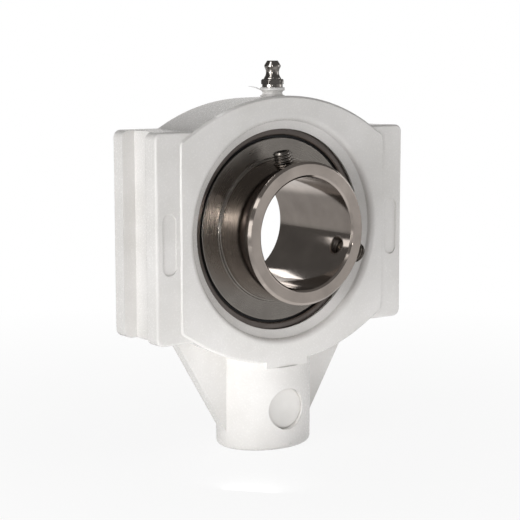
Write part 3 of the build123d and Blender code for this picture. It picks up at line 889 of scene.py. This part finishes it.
@dataclass(frozen=True)
class Thread:
    """A metric screw thread, by its outer diameter and its pitch."""

    diameter: float
    pitch: float
    steps: int = 40  # faces round one turn
    play: float = 0.04  # how far a screw's flanks stand off the nut's
    screw_depth: float = 0.6134  # depth of a screw's thread, in pitches
    nut_depth: float = 0.5413  # depth of a nut's thread, in pitches
    screw_crest: float = 0.125  # width of a screw's crest, in pitches
    nut_crest: float = 0.25  # width of a nut's crest, in pitches
    flank_angle: float = 30.0  # degrees from square across the axis

    @property
    def crest(self) -> float:
        """Radius of a screw's crests."""
        return self.diameter / 2

    @property
    def root(self) -> float:
        """Radius of a screw's roots."""
        return self.crest - self.screw_depth * self.pitch

    @property
    def slope(self) -> float:
        """How far a flank runs along the axis for each step outwards."""
        return math.tan(math.radians(self.flank_angle))

    @property
    def flank(self) -> float:
        """Length of one flank along the axis."""
        return (self.crest - self.root) * self.slope

    def runs(self, low: float, high: float) -> tuple[int, int]:
        """Gives the numbers of the first turn and of the one past the last, with one to spare."""
        return math.floor(low / self.pitch) - 1, math.ceil(high / self.pitch) + 1

    def rod(self, label: str, low: float, high: float) -> bpy.types.Object:
        """Makes an upright threaded rod.

        Args:
            label: Its name.
            low: The height of its foot.
            high: The height of its top.

        Returns:
            A closed solid whose helix keeps its phase to height zero.
        """
        flat = self.pitch - 2 * self.flank - self.screw_crest * self.pitch
        turn = ((self.root, -flat / 2), (self.root, flat / 2), (self.crest, flat / 2 + self.flank),
                (self.crest, self.pitch - flat / 2 - self.flank))
        outline = [(radius, number * self.pitch + height)
                   for number in range(*self.runs(low, high)) for radius, height in turn]
        rod = Bench.line(label, outline)
        Bench.modify(rod, "SCREW", angle=math.tau, screw_offset=mm(self.pitch), iterations=1,
                     steps=self.steps, render_steps=self.steps, axis="Z", use_merge_vertices=False)
        with Bench.editing(rod, everything=True):
            bpy.ops.mesh.remove_doubles(threshold=SAME)
        for height, outward in ((low, -1.0), (high, 1.0)):
            with Bench.editing(rod, everything=True):
                bpy.ops.mesh.bisect(
                    plane_co=(0.0, 0.0, mm(height)), plane_no=(0.0, 0.0, outward), use_fill=True,
                    clear_outer=True)
        Bench.close(rod)
        return rod

    def ridge(self, label: str, base: float, low: float, high: float) -> bpy.types.Object:
        """Makes the helical ridge that stands in a threaded hole and meshes with such a rod.

        Args:
            label: Its name.
            base: The radius of the hole's wall, where the ridge's foot lies.
            low: The height from which it must run.
            high: The height to which it must run.

        Returns:
            A closed helical solid.
        """
        tip = self.crest - self.nut_depth * self.pitch
        half_tip = self.nut_crest * self.pitch / 2 - self.play
        half_foot = half_tip + (base - tip) * self.slope
        first, last = self.runs(low, high)
        start = first * self.pitch
        ridge = Bench.line(label, (
            (base, start - half_foot), (base, start + half_foot), (tip, start + half_tip),
            (tip, start - half_tip)), closed=True)
        Bench.modify(ridge, "SCREW", angle=math.tau, screw_offset=mm(self.pitch),
                     iterations=last - first, steps=self.steps, render_steps=self.steps, axis="Z",
                     use_merge_vertices=False)
        Bench.close(ridge)
        return ridge


M8 = Thread(8.0, 1.25)
M12 = Thread(12.0, 1.75)
ALONG_SHAFT = Matrix.Rotation(math.pi / 2, 4, "X")  # lays an upright piece down


@dataclass
class SetScrews:
    """The two set screws that clamp the inner ring on a shaft, and their threaded holes."""

    angles: tuple[float, float] = (-11.6, 108.4)  # clockwise from the nipple, seen from the front
    rises: tuple[float, float] = (0.5, 2.9)  # how far each tip stands back from the bore
    bore: float = 22.5
    ring_outside: float = 28.6
    hole: float = 4.05  # radius
    inset: float = -21.7  # the screws' place along the shaft
    length: float = 10.0
    chamfer: float = 1.0
    socket: float = 4.0  # across flats
    socket_depth: float = 4.0
    socket_cone: float = 1.0  # depth of the drill's mark under the socket
    socket_point: float = 0.05  # its end, as a share of the socket
    cup: float = 5.0  # width of the hollow point
    cup_slope: float = 0.5  # how much deeper it gets for each step inwards
    cup_start: float = 0.125  # how far under the point its cutter starts
    skin: float = 0.04  # how far a hole's thread stands back from the ring's faces
    overlap: float = 0.02  # how far its foot lies in the hole's wall, and a sleeve past the crests
    spare: float = 1.0  # how far a cutter or a hole's thread runs past an end before it is trimmed
    sides: int = 64
    ring_sides: int = 180

    def build(self) -> None:
        """Makes both screws and the ridges of both threaded holes."""
        for number, (angle, rise) in enumerate(zip(self.angles, self.rises), 1):
            turn = Matrix.Rotation(math.radians(angle), 4, "Y")
            place = Matrix.Translation((0.0, mm(self.inset), 0.0)) @ turn
            screw = self.screw(f"set_screw_{number}_threaded", self.bore + rise)
            Bench.put(screw, place)
            Bench.smooth(screw)
            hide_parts(f"set_screw_{number}")
            Bench.dress(screw, SCREW_STEEL, f"set_screw_{number}", "screw_steel")
            thread = self.hole_thread(f"set_screw_hole_{number}_thread")
            Bench.put(thread, place)
            Bench.smooth(thread)
            Bench.dress(thread, HOLE_STEEL, "inner_ring", "ring_steel")

    def screw(self, label: str, tip: float) -> bpy.types.Object:
        """Makes one upright screw with its cup point down.

        Args:
            label: Its name.
            tip: The height of its point.

        Returns:
            The screw.
        """
        top = tip + self.length
        screw = M8.rod(label, tip, top)
        sleeve = Bench.round_bar("sleeve", M8.crest + self.overlap, tip, top, self.sides)
        with Bench.editing(sleeve):
            Bench.pick_rims(sleeve, (tip, top))
            bpy.ops.mesh.bevel(offset=mm(self.chamfer), segments=1)
        Bench.join(screw, sleeve, Join.KEEP)
        Bench.join(screw, self.socket_cutter(top), Join.CUT)
        Bench.join(screw, self.cup_cutter(tip), Join.CUT)
        Bench.close(screw)
        return screw

    def socket_cutter(self, top: float) -> bpy.types.Object:
        """Makes the solid that cuts the hexagon socket, with the cone that the drill left.

        Args:
            top: The height of the screw's top.

        Returns:
            The cutter.
        """
        floor, corner = top - self.socket_depth, self.socket / math.sqrt(3.0)
        socket = Bench.round_bar("socket", corner, floor, top + self.spare, 6)
        with Bench.editing(socket):
            Bench.pick_end(socket, floor)
            bpy.ops.mesh.extrude_region_move(
                TRANSFORM_OT_translate={"value": (0.0, 0.0, -mm(self.socket_cone))})
            bpy.ops.transform.resize(value=(self.socket_point, self.socket_point, 1.0))
        return socket

    def cup_cutter(self, tip: float) -> bpy.types.Object:
        """Makes the cone that hollows the point.

        Args:
            tip: The height of the screw's point.

        Returns:
            The cutter.
        """
        depth = self.cup / 2 * self.cup_slope + self.cup_start
        Bench.clear()
        bpy.ops.mesh.primitive_cone_add(
            vertices=self.sides, radius1=mm(depth / self.cup_slope), radius2=0.0, depth=mm(depth),
            location=(0.0, 0.0, mm(tip - self.cup_start) + mm(depth) / 2))
        cup = Bench.name("cup")
        Bench.fix(cup)
        return cup

    def hole_thread(self, label: str) -> bpy.types.Object:
        """Makes the thread of one hole, trimmed to the ring's wall.

        Args:
            label: Its name.

        Returns:
            The helical ridge.
        """
        ridge = M8.ridge(
            label, self.hole + self.overlap, self.bore - self.spare, self.ring_outside + self.spare)
        wide, far = 2 * self.hole, 2 * self.ring_outside
        outside = Bench.round_bar(
            "outside", self.ring_outside - self.skin, -wide, wide, self.ring_sides)
        Bench.put(outside, ALONG_SHAFT)
        Bench.join(ridge, outside, Join.KEEP)
        inside = Bench.round_bar("inside", self.bore + self.skin, -2 * wide, 2 * wide, self.ring_sides)
        Bench.put(inside, ALONG_SHAFT)
        Bench.join(ridge, inside, Join.CUT)
        low_side = Bench.round_bar("low_side", far, -far, 0.0, 4)
        Bench.join(ridge, low_side, Join.CUT)
        Bench.close(ridge)
        return ridge


@dataclass
class CrossNut:
    """The round nut that lies across the nose and takes the adjusting screw."""

    radius: float = 8.44
    half_length: float = 15.0
    height: float = -73.3  # of its middle
    chamfer: float = 0.4
    dish: float = 0.12  # depth of its ends' hollow
    rim: float = 1.1  # width of the flat round the hollow
    sides: int = 96

    def build(self) -> None:
        """Makes the nut, with dished ends and a real thread."""
        ends = (self.half_length, -self.half_length)
        nut = Bench.round_bar(
            "cross_nut_threaded", self.radius, -self.half_length, self.half_length, self.sides)
        with Bench.editing(nut):
            Bench.pick_rims(nut, ends)
            bpy.ops.mesh.bevel(offset=mm(self.chamfer), segments=3)
            for end in ends:
                Bench.pick_end(nut, end)
                bpy.ops.mesh.inset(thickness=mm(self.rim))
                bpy.ops.mesh.inset(thickness=mm(2 * self.dish))
                inwards = -math.copysign(mm(self.dish), end)
                bpy.ops.transform.translate(value=(0.0, 0.0, inwards))
        Bench.put(nut, ALONG_SHAFT)
        tap = M12.rod("tap", -2 * self.radius, 2 * self.radius)
        Bench.join(nut, tap, Join.CUT)
        Bench.close(nut)
        Bench.put(nut, Matrix.Translation((0.0, 0.0, mm(self.height))))
        Bench.smooth(nut)
        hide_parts("cross_nut")
        Bench.dress(nut, NUT_PLASTIC, "cross_nut", "nut_plastic")


@dataclass
class GreaseNipple:
    """The nipple: a bored shank and collar, a hexagon, and a waisted button head."""

    offset: float = NIPPLE_OFFSET
    shank: float = 6.0
    shank_chamfer: float = 0.4
    shank_length: float = 5.4
    collar: float = 8.4
    collar_height: float = 1.3
    hexagon: float = 8.0  # across flats
    hexagon_height: float = 2.0
    hexagon_chamfer: float = 0.5
    hexagon_turn: float = 4.0  # degrees from a corner at the front
    flare: float = 7.0
    flare_height: float = 0.4
    waist: float = 5.3
    waist_height: float = 4.4
    head: float = 6.7
    head_height: float = 0.6
    tip: float = 4.4
    tip_height: float = 1.9
    bore: float = 3.4
    mouth: float = 2.0  # width of the bore's ends, which hold the ball and the spring
    lip: float = 0.5
    ledge: float = 1.0
    overlap: float = 0.1  # how far the hexagon is sunk into the collar
    core_below: float = 1.0  # how far the cutter that opens the hexagon runs below the collar's top
    core_above: float = 3.0  # and above it
    sides: int = 72
    core_sides: int = 48
    waist_steps: int = 14

    def build(self) -> None:
        """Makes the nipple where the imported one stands."""
        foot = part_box("grease_nipple")[0][2] * 1000.0
        nipple = Bench.line("grease_nipple_turned", self.outline(foot), closed=True)
        Bench.modify(nipple, "SCREW", angle=math.tau, steps=self.sides, render_steps=self.sides,
                     axis="Z", use_merge_vertices=True, merge_threshold=SAME)
        Bench.close(nipple)
        collar_top = foot + self.shank_length + self.collar_height
        Bench.join(nipple, self.hexagon_ring(collar_top), Join.ADD)
        Bench.close(nipple)
        Bench.put(nipple, Matrix.Translation((0.0, mm(self.offset), 0.0)))
        Bench.smooth(nipple)
        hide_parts("grease_nipple")
        Bench.dress(nipple, NIPPLE_STEEL, "housing", "nipple_steel")

    def hexagon_ring(self, foot: float) -> bpy.types.Object:
        """Makes the hexagon with its chamfered top, open in the middle.

        Args:
            foot: The height of the collar's top, on which it stands.

        Returns:
            The hexagon.
        """
        corner = self.hexagon / math.sqrt(3.0)
        low, top = foot - self.overlap, foot + self.hexagon_height
        hexagon = Bench.round_bar("hexagon", corner, low, top, 6)
        Bench.put(hexagon, Matrix.Rotation(math.radians(self.hexagon_turn), 4, "Z"))
        blank = Bench.round_bar("blank", corner, low, top, self.sides)
        with Bench.editing(blank):
            Bench.pick_rims(blank, (top,))
            bpy.ops.mesh.bevel(offset=mm(self.hexagon_chamfer), segments=1)
        Bench.join(hexagon, blank, Join.KEEP)
        core = Bench.round_bar(
            "core", (self.bore + self.waist) / 4, foot - self.core_below, foot + self.core_above,
            self.core_sides)
        Bench.join(hexagon, core, Join.CUT)
        return hexagon

    def outline(self, foot: float) -> list[tuple[float, float]]:
        """Works out the turned outline, bore included.

        Args:
            foot: The height of the shank's foot.

        Returns:
            Radius and height of each corner, from the foot up the outside and down the bore.
        """
        shank, cut, collar = self.shank / 2, self.shank_chamfer, self.collar / 2
        mouth, bore = self.mouth / 2, self.bore / 2
        seat = foot + self.shank_length
        hexagon_start = seat + self.collar_height
        flare_top = hexagon_start + self.hexagon_height + self.flare_height
        head_start = flare_top + self.waist_height
        head_end = head_start + self.head_height
        top = head_end + self.tip_height
        waist = []
        for step in range(self.waist_steps + 1):
            along = 2.0 * step / self.waist_steps - 1.0
            end = self.head if along > 0 else self.flare
            radius = (self.waist + (end - self.waist) * along * along) / 2
            waist.append((radius, flare_top + self.waist_height * step / self.waist_steps))
        return [
            (mouth, foot), (shank - cut, foot), (shank, foot + cut), (shank, seat), (collar, seat),
            (collar, hexagon_start), (self.flare / 2, hexagon_start), *waist,
            (self.head / 2, head_end), (self.tip / 2, top), (mouth, top), (mouth, top - self.lip),
            (bore, top - self.lip), (bore, foot + self.ledge), (mouth, foot + self.ledge)]


@dataclass(frozen=True)
class Scar:
    """A small raised stub that a gate or a worn corner of the tool leaves."""

    name: str
    place: Point
    normal: Point
    radius: float
    height: float
    sides: int = 9
    top: float = 0.7  # radius of its top, as a share of its foot's
    rim: float = 0.35  # width of the rim round the dent, as a share of the radius
    shift: float = 0.1  # how far the dent lies off the middle, as a share of the radius
    dent: float = 0.4  # depth of the dent, as a share of the height

    def build(self) -> None:
        """Makes the stub, half sunk into the housing's skin, with a dent in its top."""
        Bench.clear()
        bpy.ops.mesh.primitive_cone_add(
            vertices=self.sides, radius1=mm(self.radius), radius2=mm(self.top * self.radius),
            depth=mm(self.height), location=(0.0, 0.0, 0.0))
        stub = Bench.name(self.name)
        with Bench.editing(stub):
            Bench.pick_end(stub, self.height / 2)
            bpy.ops.mesh.inset(thickness=mm(self.rim * self.radius))
            bpy.ops.transform.translate(
                value=(mm(self.shift * self.radius), 0.0, mm(-self.dent * self.height)))
        Bench.stand(stub, mm_point(self.place), Vector(self.normal))
        Bench.smooth(stub)
        Bench.dress(stub, HOUSING_PLASTIC, "housing", "housing_plastic")


@dataclass
class MouldMarks:
    """What the tool left on the housing: a whisker of flash on the boss, and two stubs."""

    flash_root: Point = (-3.9, -3.7, 56.2)
    flash_direction: Point = (-0.807, 0.590, 0.0)
    flash_length: float = 4.9
    flash_rise: float = 1.3
    flash_radius: float = 0.24
    flash_taper: float = 0.8  # share of its width that it loses on the way
    flash_steps: int = 12
    flash_sides: int = 10
    flash_smooth: float = 50.0  # degrees
    scars: tuple[Scar, ...] = (
        Scar("gate_scar", (1.0, -17.28, -88.0), (0.0, -1.0, 0.0), 0.55, 0.35),
        Scar("groove_nib", (-55.9, 8.2, 40.45), (-1.0, 0.0, 0.0), 0.45, 0.5),
    )

    def build(self) -> None:
        """Makes the whisker and the stubs."""
        self.whisker()
        for scar in self.scars:
            scar.build()

    def whisker(self) -> None:
        """Draws the whisker out of the boss, thinner at each step."""
        start = mm_point(self.flash_root)
        outwards = Vector(self.flash_direction).normalized()
        points = []
        for step in range(self.flash_steps + 1):
            along = step / self.flash_steps
            rise = self.flash_rise * (1.0 - (1.0 - along) ** 2)
            away = outwards * mm(self.flash_length * along)
            points.append(start + away + Vector((0.0, 0.0, mm(rise))))
        Bench.clear()
        bpy.ops.mesh.primitive_circle_add(
            vertices=self.flash_sides, radius=mm(self.flash_radius), fill_type="NGON",
            location=(0.0, 0.0, 0.0))
        flash = Bench.name("boss_flash")
        Bench.stand(flash, points[0], outwards)
        with Bench.editing(flash, everything=True):
            for number, (here, there) in enumerate(zip(points, points[1:])):
                bpy.ops.mesh.extrude_region_move(TRANSFORM_OT_translate={"value": there - here})
                left = 1.0 - self.flash_taper * (number + 1) / self.flash_steps
                before = 1.0 - self.flash_taper * number / self.flash_steps
                bpy.ops.transform.resize(value=(left / before,) * 3)
        Bench.close(flash)
        Bench.smooth(flash, self.flash_smooth)
        Bench.dress(flash, HOUSING_PLASTIC, "housing", "housing_plastic")


@dataclass
class Unit:
    """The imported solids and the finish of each."""

    nodes: Mapping[str, bpy.types.Object]
    dressings: tuple[Dressing, ...] = (
        Dressing("housing", HOUSING_PLASTIC), Dressing("cross_nut", NUT_PLASTIC),
        Dressing("outer_ring", OUTER_RING_STEEL), Dressing("inner_ring", RING_STEEL),
        Dressing("cage", CAGE_POLYAMIDE), Dressing("seal_front", SEAL_RUBBER),
        Dressing("seal_rear", SEAL_RUBBER), Dressing("flinger_front", FLINGER_STEEL),
        Dressing("flinger_rear", FLINGER_STEEL), Dressing("set_screw_1", SCREW_STEEL),
        Dressing("set_screw_2", SCREW_STEEL), Dressing("grease_nipple", NIPPLE_STEEL),
        Dressing("nipple_ball", BALL_STEEL), Dressing("nipple_spring", SPRING_STEEL),
        *(Dressing(f"ball_{number:02d}", BALL_STEEL) for number in range(1, 11)),
    )

    def dress(self) -> None:
        """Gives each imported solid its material, made once for each finish."""
        for dressing in self.dressings:
            slots = self.nodes[dressing.node].data.materials
            slots.clear()
            slots.append(dressing.finish.made())
            log.info("%s wears %s", dressing.node, dressing.finish.name)


def main() -> None:
    """Builds the studio and the unit."""
    logging.basicConfig(level=logging.INFO, format="%(message)s")
    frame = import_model()
    bpy.context.scene.view_settings.view_transform = "Standard"
    Studio().build()
    Unit(frame["nodes"]).dress()
    SetScrews().build()
    CrossNut().build()
    GreaseNipple().build()
    MouldMarks().build()


if __name__ == "__main__":
    main()
